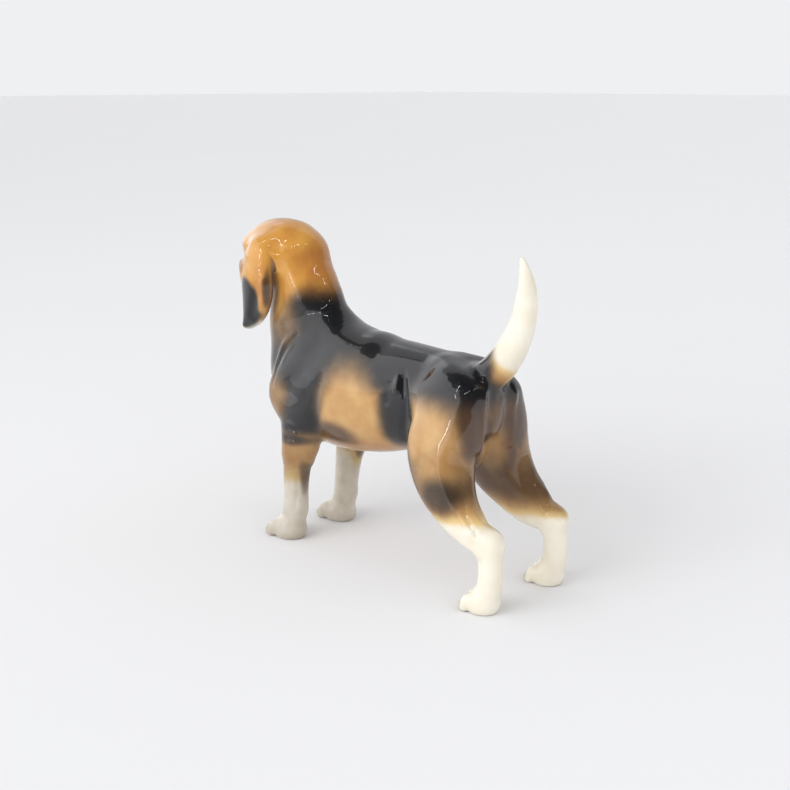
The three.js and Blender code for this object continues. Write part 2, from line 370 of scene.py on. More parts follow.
def build_shoulder(field, sign):
    loft(field, fore([
        (7, 12, 79, 4.2, 6), (10.4, 4.4, 68, 7.2, 8.8), (12.5, -0.8, 59.5, 7.8, 9),
        (13.2, 6.4, 51, 7.3, 8.8), (14.4, 8.2, 44, 6.6, 7.8), (15, 7.2, 36, 5.8, 6.8),
    ], sign), 4)
    triceps = [(14.6, 12, 62, 3.4, 5), (15.4, 13.5, 54, 4.2, 6.4), (15.2, 13, 46, 3.6, 4.6)]
    loft(field, fore(triceps, sign), 5)


def build_foreleg(field, sign):
    loft(field, fore([
        (14.7, 8.4, 46, 6.6, 8), (15, 7.4, 37, 5.9, 6.9), (15, 6, 28, 5.1, 5.9), (15, 5.4, 18, 4.6, 5.3),
        (15, 5, 13, 4.9, 5.3), (15, 3.8, 9, 4.7, 5.1), (15.2, 2, 6, 4.8, 5),
    ], sign), 2.5)
    elbow = [(14.9, 14.6, 42.5, 2.2), (14.9, 14.9, 39, 2.6), (14.9, 12.4, 34, 1.6)]
    loft(field, fore(elbow, sign), 3)


def build_haunch(field, sign):
    fuller = 1.8 if sign < 0 else 0  # the right thigh's lower part is deeper
    loft(field, hind([
        (9, 84.8, 70, 8.6, 15.2), (11.6, 86.2, 60, 10, 14.5), (14, 86, 51, 10.2, 13.6 + fuller / 2),
        (16.1, 89.8, 41.8, 8.9, 11.5 + fuller), (17.6, 96.6, 33.8, 7, 8.6 + fuller),
        (18.5, 104.6, 28.2, 5.6, 6.5 + fuller), (18.8, 111, 25, 4.7, 5.1),
    ], sign), 4.5, power=2.4)
    hip = [(5.5, 78, 77, 4, 4.8), (8, 86, 76.2, 5, 5.2), (7, 94, 72.6, 4.4, 5)]
    pastern = [
        (18.7, 113, 26.6, 4.1, 4.7), (18.9, 114.2, 18, 4.1, 4.5), (19, 114, 10, 4.3, 4.7),
        (19, 112.6, 6, 4.6, 4.9),
    ]
    loft(field, hind(hip, sign), 6)
    loft(field, hind(pastern, sign), 2.5)
    ball(field, hind([(18.8, 116.6, 25.4)], sign)[0], (3.2, 2.6, 3.6), 2.5)  # point of the hock


def build_paw(field, x, y, width, length, height):
    """A round pad with four arched toes and a cleft between each two."""
    ball(field, (x, y, height * 0.44), (width * 0.86, length * 0.86, height * 0.7), 2)
    for place in TOES:
        outer = abs(place) > 1
        reach = length * (0.5 if outer else 0.66)
        toe_x = x + place * width * TOE_PITCH
        loft(field, [
            (x + place * width * 0.34, y - reach * 0.2, height * 0.6, width * 0.25, height * 0.24),
            (toe_x, y - reach * 0.75, height * 0.56, width * 0.27, height * 0.3),
            (toe_x, y - reach - length * 0.18, height * 0.26, width * 0.26, height * 0.27),
        ], 1.2)
    for place in CLEFTS:
        front = y - length * (0.98 if place == 0 else 0.86)
        crease(field, [
            (x + place * width * 0.45, y - length * 0.3, height * 0.98),
            (x + place * width * CLEFT_PITCH, y - length * 0.72, height * 0.8),
            (x + place * width * CLEFT_PITCH, front, height * 0.3),
        ], 1.0, 0.7)


def build_tail(field):
    loft(field, [
        (0, 82, 73, 6, 6), (0, 90, 75.4, 6.3, 6.6), (0, 98.8, 81.5, 5.7, 6.1), (0, 105.6, 90, 5.1, 5.7),
        (0, 110, 99, 4.4, 4.9), (0, 111.6, 108, 3.7, 3.9), (0, 111.2, 115, 2.5, 2.7),
        (0, 109.3, 121, 0.9, 1),
    ], 3)


def build_skull(field):
    ball(field, on_head([(0, 0.5, 0)])[0], (14.0, 15.2, 13.8), 4, turn=HEAD)
    ball(field, on_head([(0, -7.6, 3)])[0], (12.9, 12, 10.8), 4, turn=HEAD)


def build_face(field):
    muzzle = [
        (0, -9, -4.6, 8, 8.2), (0, -16, -5, 7, 7.6), (0, -23, -6.5, 5.7, 6.5), (0, -26.8, -7.3, 4.9, 5.8),
    ]
    flew = [
        (2.1, -27.4, -10.8, 2.4, 3.6), (3.7, -23, -12.2, 2.6, 4.8), (4.6, -17.5, -12.8, 2.6, 4.8),
        (5, -12, -11, 2.4, 3.8),
    ]
    jaw = [(0, -10, -13, 4.6, 3), (0, -18, -15, 3.8, 2.2), (0, -25, -15.2, 2.7, 1.9)]
    for sign in SIDES.values():
        cheek, brow = on_head([(sign * 6.5, -8, -6), (sign * 6.4, -14.6, 4.2)])
        ball(field, cheek, (6, 9.6, 7.6), 4, turn=HEAD)
        ball(field, brow, (4.4, 4, 3), 4, turn=HEAD)
    loft(field, on_head(muzzle), 3.5, power=2.4)
    for sign in SIDES.values():
        loft(field, on_head(mirrored(flew, sign)), 1.8)
    loft(field, on_head(jaw), 1.4)


def build_eyes(field):
    upper_lid = [
        (4.0, -18.6, -0.2, 0.6), (4.9, -19.2, 2.3, 0.85), (7.2, -18.6, 3.5, 0.95),
        (9.4, -16.6, 2.4, 0.85), (10.3, -14.8, 0.2, 0.6),
    ]
    lower_lid = [
        (4.0, -18.6, -0.2, 0.55), (5.4, -18.9, -1.7, 0.7), (7.8, -17.7, -2.2, 0.75),
        (10.2, -14.8, 0.2, 0.6),
    ]
    for sign in SIDES.values():
        socket, eyeball = on_head([(sign * 7, -18.9, 0.8), (sign * 6.7, -16.1, 0.7)])
        ball(field, socket, (3.6, 2.4, 2.9), 1.6, turn=HEAD, cut=True)
        ball(field, eyeball, (3, 2.9, 2.7), 0.3, turn=HEAD)
        loft(field, on_head(mirrored(upper_lid, sign)), 0.8)
        loft(field, on_head(mirrored(lower_lid, sign)), 0.8)


def build_nose(field):
    bridge = [(-1.8, -29.4, -4.4, 1.7, 1.6), (0, -30, -4.1, 2, 1.9), (1.8, -29.4, -4.4, 1.7, 1.6)]
    groove = [(0, -31.4, -6.6), (0, -31, -9.2), (0, -29.6, -12.2)]
    lip = [
        (0, -29.8, -12.2), (2.4, -28.8, -13.8), (5.2, -23.6, -15.6), (7, -17.4, -15.8), (7.6, -12, -12.4),
    ]
    loft(field, on_head(bridge), 1.2)
    ball(field, on_head([(0, -29.6, -5.6)])[0], (2.7, 2, 2.2), 1, turn=HEAD)
    for sign in SIDES.values():
        nostril = on_head([(sign * 1.6, -31.3, -5)])[0]
        ball(field, nostril, (0.75, 1.2, 0.6), 0.4, turn=HEAD, cut=True)
    crease(field, on_head(groove), 0.7, 0.5)
    for sign in SIDES.values():
        crease(field, on_head(mirrored(lip, sign)), 0.8, 0.8, ends=0.1)


EAR = [
    (13.6, -1.4, 3.6, 2.6, 5.6), (15.7, -1.3, -0.6, 2.4, 8.2), (17, -1.4, -7, 2.1, 9.5),
    (17.5, -2.2, -15, 2, 9.3), (17.2, -5.4, -22, 1.8, 6.8), (16.6, -9.6, -27.5, 1.4, 2.8),
]
EAR_CUP = 2.2
# Each line of relief has its width, its depth (negative where it stands proud) and its points.
EAR_RELIEF = [
    # fold down the flap
    (1.9, 1.5, [(18.8, -12.4, 103), (19.4, -13.6, 97), (19, -15.4, 91), (18, -17.6, 86)]),
    # rolled rear edge
    (1.7, -1.4, [(18.2, -10.2, 106), (18, -9.8, 100), (17.4, -10.6, 94), (16.6, -13, 89.5)]),
]


def build_ear(field, sign):
    loft(field, on_head(mirrored(EAR, sign)), 1.5, cup=-EAR_CUP * sign)
    for width, depth, rows in EAR_RELIEF:
        crease(field, mirrored(rows, sign), width, depth)


RELIEF = [
    # front edge of the shoulder blade, with the rim before it
    (1.2, 0.9, [
        (11.0, 6, 85), (12.8, 2.6, 81), (13.8, -0.8, 77.5), (15.2, -2.8, 72.5), (17.6, -3.2, 66.5),
        (20, -2, 60),
    ]),
    (1.4, -0.6, [(12.4, 0.6, 82), (13.4, -3, 77.5), (14.6, -5.4, 72), (16.6, -6, 66.5)]),
    (1.3, -0.5, [(13.2, 4.5, 80), (14.8, 1.6, 75.5), (16.8, 0, 70)]),
    # rear edge of the upper arm, down to the elbow
    (2.2, 1.1, [(17, 25, 73), (18.6, 23.5, 67), (19.6, 22.2, 61), (19.4, 21.5, 55), (17.5, 20, 49)]),
    # skin folds over the elbow
    (1.0, 0.6, [(21.8, 6, 43), (21.6, 10, 43.6), (20.4, 14, 43), (18, 17, 42)]),
    (1.1, 0.45, [(20.6, 7, 47.5), (20.6, 11, 47.2), (19.6, 15, 46)]),
    # front edge of the thigh, and the fold of the flank before it
    (1.5, 1.3, [
        (11, 63, 79), (13.5, 65.4, 73.5), (15, 67.2, 67), (14.4, 66.6, 60), (12, 64.4, 54), (9.5, 61, 49.5),
    ]),
    (1.5, -0.9, [(13, 62.6, 76.2), (14.4, 62.4, 72.4), (15, 62.6, 68.5)]),
    (1.8, 0.5, [(14.6, 58.5, 74), (15.4, 58.2, 69), (15, 58.6, 63)]),
    # side and rear edges of the thigh
    (3.5, -0.5, [(11, 98.5, 75), (15.8, 97.5, 67), (18.4, 97, 58), (20.6, 97.4, 49)]),
    (2.4, 1.5, [(4.6, 101, 77), (4.8, 100.6, 68), (4.4, 99, 58), (3.8, 94, 49)]),
    (1.6, -0.5, [(8, 99.6, 76), (8.6, 101, 68), (8.4, 100.6, 60), (9, 99, 52)]),
    # hamstring and Achilles tendons
    (1.1, 0.75, [(21.6, 103.4, 37.5), (22.3, 106.4, 33), (22.4, 109.6, 29.5), (22.4, 112.2, 26.2)]),
    (1.0, -0.55, [(18.8, 105, 38), (19.6, 108.6, 33.6), (20, 112.2, 30.4)]),
    (1.3, 0.6, [(22.6, 100, 35.5), (23, 103.4, 31.4), (22.6, 107, 28)]),
    (1.0, 0.6, [(15.8, 104, 36), (15.4, 107.5, 32), (15.6, 111, 28.5)]),
    # tendons behind the fore legs and along the rear pasterns
    (1.1, 0.55, [(18.4, 12.2, 33), (18.2, 10.6, 26), (18, 9, 18), (18, 8, 12)]),
    (1.1, 0.4, [(11.8, 11.6, 33), (12, 10.2, 26), (12.2, 9, 18)]),
    (1.2, 0.4, [(22.6, 112.6, 22), (22.6, 113, 16), (22.6, 112.6, 11)]),
]


def build_relief(field):
    """The modelled lines of muscle, fold and tendon, on both sides, and the vent."""
    for sign in SIDES.values():
        for width, depth, rows in RELIEF:
            crease(field, mirrored(rows, sign), width, depth)
    between_thighs, vent = (0, 87.5, 49.5), (0, VENT_Y, 47.5)
    ball(field, between_thighs, (4.6, 5, 6), 2.5)
    ball(field, vent, (3, 3, 5), 0.6, cut=True)


# ---- Cutting the skin into its castings -------------------------------------------------------
NECK_SEAM = (np.array([0, -4, 91.0]), np.array([0, -0.45, 0.89]))
TAIL_SEAM = (np.array([0, 96.5, 78.5]), np.array([0, 0.79, 0.62]))
FORE_SEAM_Z, HIND_SEAM_Z = 36.5, 44.0
WAIST_Y = 60.0
TOUCHING = 1e-4  # nearer than this to a cut counts as just past it


class Surface:
    """Triangles with a normal at each corner point."""

    def __init__(self, points, triangles, normals):
        self.points, self.triangles, self.normals = points, triangles, normals

    def split(self, scalar):
        """The parts where scalar is negative and positive, cut exactly where it is zero."""
        scalar = np.where(np.abs(scalar) < TOUCHING, TOUCHING, scalar)
        inside = scalar < 0
        count = inside[self.triangles].sum(1)
        mixed = self.triangles[(count > 0) & (count < 3)]
        points, normals, cuts = list(self.points), list(self.normals), {}

        def crossing(a, b):
            key = (min(a, b), max(a, b))
            if key not in cuts:
                share = scalar[a] / (scalar[a] - scalar[b])
                cuts[key] = len(points)
                points.append(self.points[a] + (self.points[b] - self.points[a]) * share)
                normal = self.normals[a] + (self.normals[b] - self.normals[a]) * share
                normals.append(normal / np.linalg.norm(normal))
            return cuts[key]

        sides = {True: [], False: []}
        for triangle in mixed:
            lone = next(i for i in range(3) if (inside[triangle] == inside[triangle[i]]).sum() == 1)
            a, b, c = np.roll(triangle, -lone)
            ab, ac = crossing(a, b), crossing(a, c)
            sides[bool(inside[a])].append((a, ab, ac))
            sides[not inside[a]] += [(ab, b, c), (ab, c, ac)]
        points, normals = np.array(points), np.array(normals)
        for key, whole in ((True, count == 3), (False, count == 0)):
            triangles = np.vstack([self.triangles[whole], np.array(sides[key], int).reshape(-1, 3)])
            yield Surface(points, triangles, normals).tidy()

    def tidy(self):
        """The same surface without unused points."""
        used, places = np.unique(self.triangles, return_inverse=True)
        return Surface(self.points[used], places.reshape(-1, 3), self.normals[used])


def plane_side(points, seam):
    return (points - seam[0]) @ seam[1]


def cut_castings(whole, ear_side):
    """Each casting's surface. ear_side is negative where the skin belongs to an ear."""
    castings = {}
    ears, rest = whole.split(ear_side)
    castings["ear_right"], castings["ear_left"] = ears.split(ears.points[:, 0])
    rest, castings["head"] = rest.split(plane_side(rest.points, NECK_SEAM))
    rest, castings["tail"] = rest.split(plane_side(rest.points, TAIL_SEAM))
    _, y, z = rest.points.T
    legs, rest = rest.split(np.maximum(z - FORE_SEAM_Z, y - WAIST_Y))
    castings["foreleg_right"], castings["foreleg_left"] = legs.split(legs.points[:, 0])
    _, y, z = rest.points.T
    legs, rest = rest.split(np.maximum(z - HIND_SEAM_Z, WAIST_Y - y))
    castings["hindleg_right"], castings["hindleg_left"] = legs.split(legs.points[:, 0])
    castings["torso"] = rest
    return castings


def make_mesh(name, surface, masks):
    """A closed Blender mesh with smooth normals and one attribute for each paint mask."""
    mesh = bpy.data.meshes.new(name)
    mesh.from_pydata(((surface.points - ORIGIN) * MM).tolist(), [], surface.triangles.tolist())
    for mask, values in masks.items():
        mesh.attributes.new(mask, "FLOAT", "POINT").data.foreach_set("value", values.astype(np.float32))
    normals = mesh.attributes.new("skin_normal", "FLOAT_VECTOR", "POINT")
    normals.data.foreach_set("vector", surface.normals.astype(np.float32).ravel())
    shape = bmesh.new()
    shape.from_mesh(mesh)
    bmesh.ops.holes_fill(shape, edges=[e for e in shape.edges if e.is_boundary], sides=0)
    shape.to_mesh(mesh)
    shape.free()
    for polygon in mesh.polygons:
        polygon.use_smooth = True
    vectors = np.zeros(len(mesh.vertices) * 3, np.float32)
    mesh.attributes["skin_normal"].data.foreach_get("vector", vectors)
    mesh.normals_split_custom_set_from_vertices(vectors.reshape(-1, 3).tolist())
    mesh.attributes.remove(mesh.attributes["skin_normal"])
    return mesh


# ---- Building the skin ------------------------------------------------------------------------
SKIN_LOW, SKIN_HIGH = (-34, -56, -4), (34, 126, 132)  # corners of the grid
EAR_BLEND, EAR_ROOT_BLEND = 2.2, 7.0  # how softly the ear's skin meets the head's, at its flap and root
EAR_ROOT_Z = (105, 114)               # heights between which one passes into the other
SOLE_EDGE = 0.8


def build_body():
    field = Field(SKIN_LOW, SKIN_HIGH, STEP)
    build_trunk(field)
    for sign in SIDES.values():
        build_shoulder(field, sign)
        build_haunch(field, sign)
        build_foreleg(field, sign)
        for pair in PAWS:
            build_paw(field, *paw_of(pair, sign))
    build_tail(field)
    build_skull(field)
    build_face(field)
    build_eyes(field)
    build_nose(field)
    build_relief(field)
    return field


def build_ears():
    field = Field(SKIN_LOW, SKIN_HIGH, STEP)
    for sign in SIDES.values():
        build_ear(field, sign)
    return field


def stand_on_ground(field):
    """Cuts the soles flat at z = 0, with a slightly rounded edge."""
    under = np.broadcast_to(-field.axes[2][None, None, :], field.values.shape)
    field.values = smooth_max(field.values, under, SOLE_EDGE).astype(np.float32)


def build_skin():
    body, ears = build_body(), build_ears()
    ear_side = ears.values - body.values
    rise = smoothstep(body.axes[2], *EAR_ROOT_Z)[None, None, :]
    blend = EAR_BLEND + (EAR_ROOT_BLEND - EAR_BLEND) * rise
    body.values = smooth_min(body.values, ears.values, blend)
    stand_on_ground(body)
    points, quads, normals = skin(body)
    points[:, 2] = np.maximum(points[:, 2], 0)
    triangles = np.vstack([quads[:, [0, 1, 2]], quads[:, [0, 2, 3]]])
    whole = Surface(points, triangles, normals)
    return cut_castings(whole, sample(ear_side, body, points))


# ---- Paint masks ------------------------------------------------------------------------------
def spot(points, centre, radii, soft=0.5):
    """1 inside an ellipsoid, fading to 0 around it."""
    away = np.sqrt((((points - np.array(centre)) / np.array(radii)) ** 2).sum(1))
    return 1 - smoothstep(away, 1 - soft, 1 + soft)


def most(*masks):
    return np.maximum.reduce(masks)


class Places:
    """One casting's points, in the measures that its paint is laid out by."""

    def __init__(self, points, casting):
        self.points, self.casting = points, casting
        self.is_head, self.is_ear = casting == "head", casting.startswith("ear")
        self.x, self.y, self.z = x, y, z = points.T
        self.near = np.stack([np.abs(x), y, z], 1)  # both sides alike
        local = (points - HEAD_AT) @ HEAD
        self.face = np.stack([np.abs(local[:, 0]), local[:, 1], local[:, 2]], 1)
        self.rear = smoothstep(y, 50, 66)
        self.front = 1 - self.rear
        self.darker = np.where(x < 0, 4.5, 0)  # the right hind leg's paint reaches this much lower
        tail_y, tail_z = TAIL_SEAM[0][1:]
        self.up_tail = 0.65 * (y - tail_y) + 0.76 * (z - tail_z)      # mm up the tail from its seam
        self.under_tail = 0.76 * (y - tail_y) - 0.65 * (z - tail_z)   # mm to its lower side
        self.tail_cream = smoothstep(self.up_tail, 2, 14) * (z > 74)
        # the tail's tan under side
        self.beneath = smoothstep(self.under_tail, -1, 4) * spot(points, (0, 104, 84), (8, 8, 8), 0.5)
        self.throat = spot(points, (0, -23, 80), (10.5, 12, 21), 0.4) * (y < -6)
        self.chest = spot(self.near, (20, -3, 57), (11, 8.5, 9), 0.8)
        self.below_nape = 85 + 14 * smoothstep(y, -14, 7) - z  # mm below the saddle's upper edge


def tan_mask(p):
    """Tan over the cream body, fading out down the legs."""
    if p.is_ear:
        return smoothstep(p.z - 0.4 * (p.y + 14), 84.5, 90)
    inner = 1 - smoothstep(np.abs(p.x), 8, 15)
    tan = p.front * smoothstep(p.z, 17 + 8 * inner, 39 + 6 * inner)
    tan += p.rear * smoothstep(p.z + p.darker - 0.1 * (p.y - 100), 25, 38)
    tan *= (1 - 0.9 * p.throat) * (1 - p.tail_cream)
    chin = spot(p.face, (0, -20, -15.5), (6, 12, 4.5), 0.4)
    return tan * (1 - 0.8 * chin * p.is_head)


def rust_mask(p):
    return most(
        0.45 * spot(p.near, (10, 34, 45.5), (10, 24, 5), 0.6),  # belly
        0.25 * spot(p.near, (17, 12, 36), (9, 8, 8), 0.6),      # foreleg
        0.7 * spot(p.points, (-5, 2, 106), (12, 12, 17), 0.8),  # nape
        0.6 * spot(p.near, (8.6, 101, 56), (2.4, 6, 17), 0.6),  # rear edge of the thigh
        0.6 * spot(p.near, (19, 90, 34), (9, 12, 6), 0.6),      # shin
    )


def black_mask(p):
    """A saddle from the nape to the tail and down over the upper arm, with patches round it."""
    if p.is_ear:
        return spot(p.near, (19, -21, 93), (7, 8.8, 11), 0.2)
    haze = 0.45 * spot(p.near, (13, -4, 86), (6, 8, 9), 0.7)  # thin black over the side of the neck
    saddle = smoothstep(p.below_nape, -9, 6) * (1 - haze)
    if p.is_head:
        return saddle * smoothstep(p.y, -16, -8)
    saddle *= smoothstep(p.y, -19, -9) * (1 - p.throat)
    low_edge = 70 * p.rear + p.front * (67 - 22 * (1 - smoothstep(p.y, 18, 34)))
    saddle *= smoothstep(p.z - low_edge, -6 - 3 * p.rear, 5 + 2 * p.rear)
    saddle *= (1 - p.tail_cream) * (1 - p.beneath)
    before_thigh = spot(p.near, (14, 62.5, 61), (10, 10, 19), 0.45)
    flank = spot(p.near, (18, 38.5, 60), (13, 12, 13.5), 0.95)
    elbow = spot(p.near, (17, 9, 43.5), (11, 11, 3), 0.5)
    stifle = spot(p.near, (24, 94, 38.5), (9, 9, 7), 0.6)
    tail_root = (1 - smoothstep(p.up_tail, 4, 16)) * (1 - smoothstep(p.under_tail, -3, 2))
    tail_root *= (p.y > 84) * (p.z > 76)
    black = most(saddle * (1 - 0.75 * p.chest), before_thigh) * (1 - flank)
    return most(black, 0.8 * elbow, 0.75 * stifle, 0.95 * tail_root)


def brown_and_shade_mask(p):
    """Brown paint over the thigh, round an oval left tan, and painted shade in the hollows of body and legs.
    """
    if p.is_ear:
        return most(
            0.9 * spot(p.near, (13.6, -8, 98), (2.6, 9, 16), 0.5),       # under side
            0.85 * spot(p.near, (17.4, -8.2, 99), (2.6, 1.6, 13), 0.7),  # rear edge
            0.7 * spot(p.near, (18, -13.5, 88), (3, 5, 2.6), 0.6),       # hem
        )
    oval = most(
        spot(p.near, (18, 82.5, 60), (13, 12.5, 11.5), 0.6),
        0.65 * spot(p.near, (20, 90, 53), (12, 10, 12), 0.6),
    ) * (1 - 0.5 * (p.x < 0))
    hock = np.where(p.x < 0, 0.85, 0.25) * spot(p.near, (22, 107, 28.5), (2.6, 8, 4.5), 0.7)
    brown_and_shade = most(
        0.8 * p.rear * smoothstep(p.z + 1.5 * p.darker, 30, 42) * (1 - oval),
        0.95 * spot(p.near, (13, 98.5, 64), (7, 6, 17), 0.5),  # rear of the thigh
        # painted shade in the groove between the thighs
        0.92 * spot(p.near, (6, 97, 50), (8, 12, 24), 0.5),    # inside of the leg
        hock,
        # painted shade in the fold between the thigh's front and the belly
        0.95 * spot(p.near, (18, 75, 43), (10, 7.5, 11), 0.6),  # front edge of the thigh, low down
        0.55 * p.chest,
        # painted shade in the hollow behind the elbow
        0.85 * spot(p.near, (16, 29, 48), (9, 12, 5.5), 0.6),  # behind the elbow
        # painted shade in the grooves down the back of the foreleg
        0.8 * spot(p.near, (15, 12.5, 29), (5, 3, 15), 0.6),   # back of the foreleg
        0.7 * spot(p.face, (0, -26.5, -5), (6, 7, 6), 0.6) * p.is_head,
        0.45 * smoothstep(p.below_nape, -12, 3) * (p.y < 20),
    )
    between_legs = spot(p.points, (-5, 91, 53), (6, 7, 10), 0.6)
    return brown_and_shade * (1 - p.tail_cream) * (1 - 0.75 * p.beneath) * (1 - 0.6 * between_legs)


def claw_mask(p):
    """Dark claws, and grey brushed into the clefts between the toes and over their tips."""
    x, y, width, length, _ = paw_of(p.casting[:4], SIDES[p.casting.split("_")[1]])
    masks = [0.75 * spot(p.points, (x, y - length * 0.98, 3.2), (width * 1.1, 2.6, 3.2), 0.5)]
    for place in TOES:
        claw_y = y - length * (0.72 if abs(place) > 1 else 0.9)
        masks.append(spot(p.points, (x + place * width * TOE_PITCH, claw_y, 2.0), (0.8, 2.2, 1.9), 0.35))
    for place in CLEFTS:
        cleft = (x + place * width * CLEFT_PITCH, y - length * 0.8, 5)
        masks.append(0.45 * spot(p.points, cleft, (0.55, 4.5, 5), 0.5))
    return most(*masks)


def ink_mask(p):
    if p.is_head:
        nose = spot(p.face, (0, -30.6, -5), (3.1, 2.6, 2.7), 0.12)
        eyes = spot(p.face, (7, -17.8, 0.6), (2.5, 2, 2.0), 0.12)
        return most(nose, eyes)
    return claw_mask(p) if "leg" in p.casting else np.zeros(len(p.points))


def paint_masks(points, casting):
    """How much of each colour lies at each point, from 0 to 1."""
    p = Places(points, casting)
    return {
        "tan": tan_mask(p), "gold": smoothstep(p.z, 84, 100) * p.front, "rust": rust_mask(p),
        "brown_and_shade": brown_and_shade_mask(p), "black": black_mask(p), "ink": ink_mask(p),
    }


# ---- Materials --------------------------------------------------------------------------------
CREAM, CREAM_DEEP = (0.91, 0.855, 0.73, 1), (0.85, 0.775, 0.62, 1)
STRAW = (0.76, 0.55, 0.24, 1)
BUFF, BUFF_DEEP = (0.60, 0.36, 0.14, 1), (0.50, 0.26, 0.08, 1)
GOLD, GOLD_DEEP = (0.65, 0.32, 0.058, 1), (0.50, 0.20, 0.032, 1)
RUST = (0.36, 0.12, 0.022, 1)
# also the colour of the painted shade in the hollows of body and legs
BROWN_AND_SHADE = (0.075, 0.036, 0.018, 1)
BLACK = (0.006, 0.0065, 0.008, 1)
INK = (0.004, 0.0035, 0.003, 1)
GLAZE_WAVE = 0.00016  # height of the glaze's faint waves, in m


class Nodes:
    """Adds nodes to a tree, linking whatever inputs are sockets."""

    def __init__(self, tree):
        self.tree = tree
        tree.nodes.clear()

    def add(self, kind, inputs=(), **settings):
        node = self.tree.nodes.new(kind)
        for name, value in settings.items():
            setattr(node, name, value)
        for name, value in dict(inputs).items():
            if isinstance(value, bpy.types.NodeSocket):
                self.tree.links.new(value, node.inputs[name])
            else:
                node.inputs[name].default_value = value
        return node

    def noise(self, scale, detail=3.0, roughness=0.5, at=None):
        inputs = {"Scale": scale, "Detail": detail, "Roughness": roughness}
        if at is not None:
            inputs["Vector"] = at
        return self.add("ShaderNodeTexNoise", inputs).outputs["Fac"]

    def math(self, operation, a, b=0.0, c=0.0):
        return self.add("ShaderNodeMath", {0: a, 1: b, 2: c}, operation=operation).outputs[0]

    def plus(self, a, b):
        return self.math("ADD", a, b)

    def times(self, a, b):
        return self.math("MULTIPLY", a, b)

    def wander(self, noise, amount):
        """Noise moved to run evenly both ways from 0, over amount in all."""
        return self.math("MULTIPLY_ADD", noise, amount, -amount / 2)

    def span(self, value, low, high, start=0.0, end=1.0):
        return self.add("ShaderNodeMapRange", {
            "Value": value, "From Min": low, "From Max": high, "To Min": start, "To Max": end,
        }, interpolation_type="SMOOTHSTEP").outputs["Result"]

    def mix(self, share, under, over):
        return self.add("ShaderNodeMix", {0: share, 6: under, 7: over}, data_type="RGBA").outputs[2]

    def mask(self, name):
        return self.add("ShaderNodeAttribute", attribute_name=name).outputs["Fac"]

    def finish(self, kind, shader):
        self.tree.links.new(shader.outputs[0], self.add(kind).inputs["Surface"])


def porcelain(name):
    """Airbrushed colours on white porcelain, under a clear glossy glaze."""
    material = bpy.data.materials.new(name)
    material.use_nodes = True
    n = Nodes(material.node_tree)
    place = n.add("ShaderNodeTexCoord").outputs["Object"]
    broad = n.noise(90, 3, 0.5, place)
    patchy = n.noise(260, 3, 0.6, place)
    speck = n.noise(2200, 2, 0.6, place)
    drift = n.plus(n.plus(n.wander(broad, 0.24), n.wander(speck, 0.05)), n.wander(patchy, 0.08))

    def sprayed(name):
        """A mask whose soft edge is broken up by spray and brush."""
        mask = n.mask(name)
        spray = n.times(drift, n.span(mask, 0, 0.3))
        return n.span(n.plus(mask, spray), 0.02, 1.0)

    colour = n.mix(n.span(broad, 0.3, 0.75), CREAM, CREAM_DEEP)
    buff = n.mix(n.span(broad, 0.3, 0.75), BUFF, BUFF_DEEP)
    gold = n.mix(n.span(broad, 0.3, 0.8), GOLD, GOLD_DEEP)
    tan = n.mix(sprayed("rust"), n.mix(n.mask("gold"), buff, gold), RUST)
    cover = sprayed("tan")
    colour = n.mix(n.span(cover, 0, 0.45), colour, STRAW)
    colour = n.mix(n.span(cover, 0.3, 1), colour, tan)
    # this layer is dark paint and, in the hollows of body and legs, painted shade
    colour = n.mix(sprayed("brown_and_shade"), colour, BROWN_AND_SHADE)
    colour = n.mix(sprayed("black"), colour, BLACK)
    colour = n.mix(n.mask("ink"), colour, INK)
    waves = n.plus(n.noise(75, 1, 0.4, place), n.times(n.noise(300, 1, 0.4, place), 0.12))
    bump = {"Strength": 1.0, "Distance": GLAZE_WAVE, "Height": waves}
    glaze = n.add("ShaderNodeBump", bump).outputs["Normal"]
    shader = n.add("ShaderNodeBsdfPrincipled", {
        "Base Color": colour, "Roughness": n.span(patchy, 0.2, 0.8, 0.38, 0.5),
        "Specular IOR Level": 0.2, "Normal": glaze, "Coat Weight": 1.0, "Coat Roughness": 0.03,
        "Coat IOR": 1.52, "Coat Normal": glaze,
    })
    n.finish("ShaderNodeOutputMaterial", shader)
    return material


# ---- Stage, lights and camera -----------------------------------------------------------------
CAMERA_AT = np.array([357.5, 421.5, 181.5])   # mm, in the shape's axes
CAMERA_AZIMUTH, CAMERA_PITCH = math.radians(136.345), math.radians(12.816)
CAMERA_LENS = 63.8
# level, from the camera past the dog, and to the camera's left
AWAY = Vector((-math.sin(CAMERA_AZIMUTH), math.cos(CAMERA_AZIMUTH), 0))
LEFT = Vector((-math.cos(CAMERA_AZIMUTH), -math.sin(CAMERA_AZIMUTH), 0))
FLOOR_HALF = 12.0      # m
BACKDROP_LEVEL = 0.89  # brightness of the backdrop, seen past the dog
# What the glaze reflects: the walls near the table, the far one's share of that, the dim rest of
# the room and its light tubes.
WALL_LEVEL, FAR_WALL_SHARE, ROOM_LEVEL, TUBE_LEVEL = 1.4, 0.44, 0.06, 30
SOFTBOX_WATTS = 3.2


def plain_floor():
    corners = [(x * FLOOR_HALF, y * FLOOR_HALF, 0) for x, y in ((-1, -1), (1, -1), (1, 1), (-1, 1))]
    mesh = bpy.data.meshes.new("floor")
    mesh.from_pydata(corners, [], [(0, 1, 2, 3)])
    floor = bpy.data.objects.new("floor", mesh)
    bpy.context.scene.collection.objects.link(floor)
    material = bpy.data.materials.new("pale_floor")
    material.use_nodes = True
    n = Nodes(material.node_tree)
    place = n.add("ShaderNodeTexCoord").outputs["Object"]
    mottle = n.mix(n.noise(3, 2, 0.5, place), (0.84, 0.84, 0.845, 1), (0.855, 0.855, 0.855, 1))
    n.finish("ShaderNodeOutputMaterial", n.add("ShaderNodeBsdfDiffuse", {"Color": mottle, "Roughness": 0.5}))
    mesh.materials.append(material)


